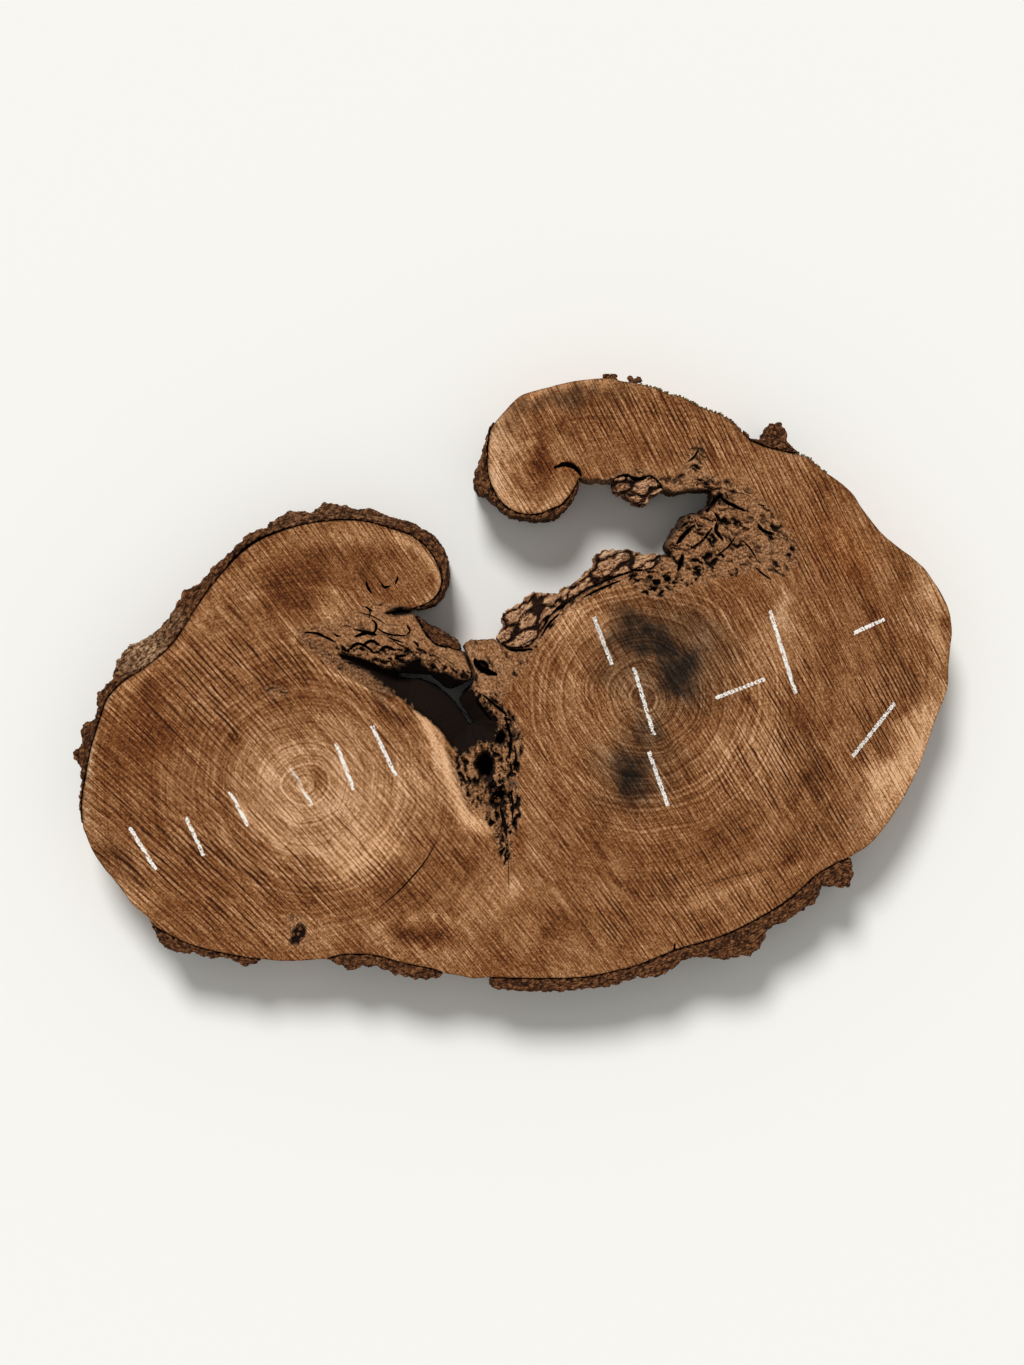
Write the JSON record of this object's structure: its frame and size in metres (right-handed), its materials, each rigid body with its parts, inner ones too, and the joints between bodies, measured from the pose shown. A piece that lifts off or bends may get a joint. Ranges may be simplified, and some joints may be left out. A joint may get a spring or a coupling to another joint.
{
  "type": "walnut wood slice",
  "caption": "Thick slice sawn across a walnut trunk of two grown-together stems, with a curled hook, a rotted pocket and bark on parts of its edge.",
  "frame": {"origin": "under the middle of the slice, on the surface that its back face lies on", "axes": "+Z out of the front sawn face, +X to the right of that face and +Y to its top, as the picture shows it"},
  "size_m": [1.1694, 0.8242, 0.1016],
  "materials": {
    "sawn_walnut": "dry band-sawn end grain",
    "bark": "rough furrowed bark",
    "dead_bark": "crumbling dead bark in plates"
  },
  "bodies": {
    "root": {"wood": "sawn_walnut", "bark_upper_left": "bark", "bark_tongue": "bark", "bark_bay_lower": "dead_bark", "bark_bay_remnant": "dead_bark", "bark_hook": "bark", "bark_knob": "bark", "bark_lower_right": "bark", "bark_lower_middle": "bark", "bark_lower_left": "bark"}
  },
  "joints": []
}
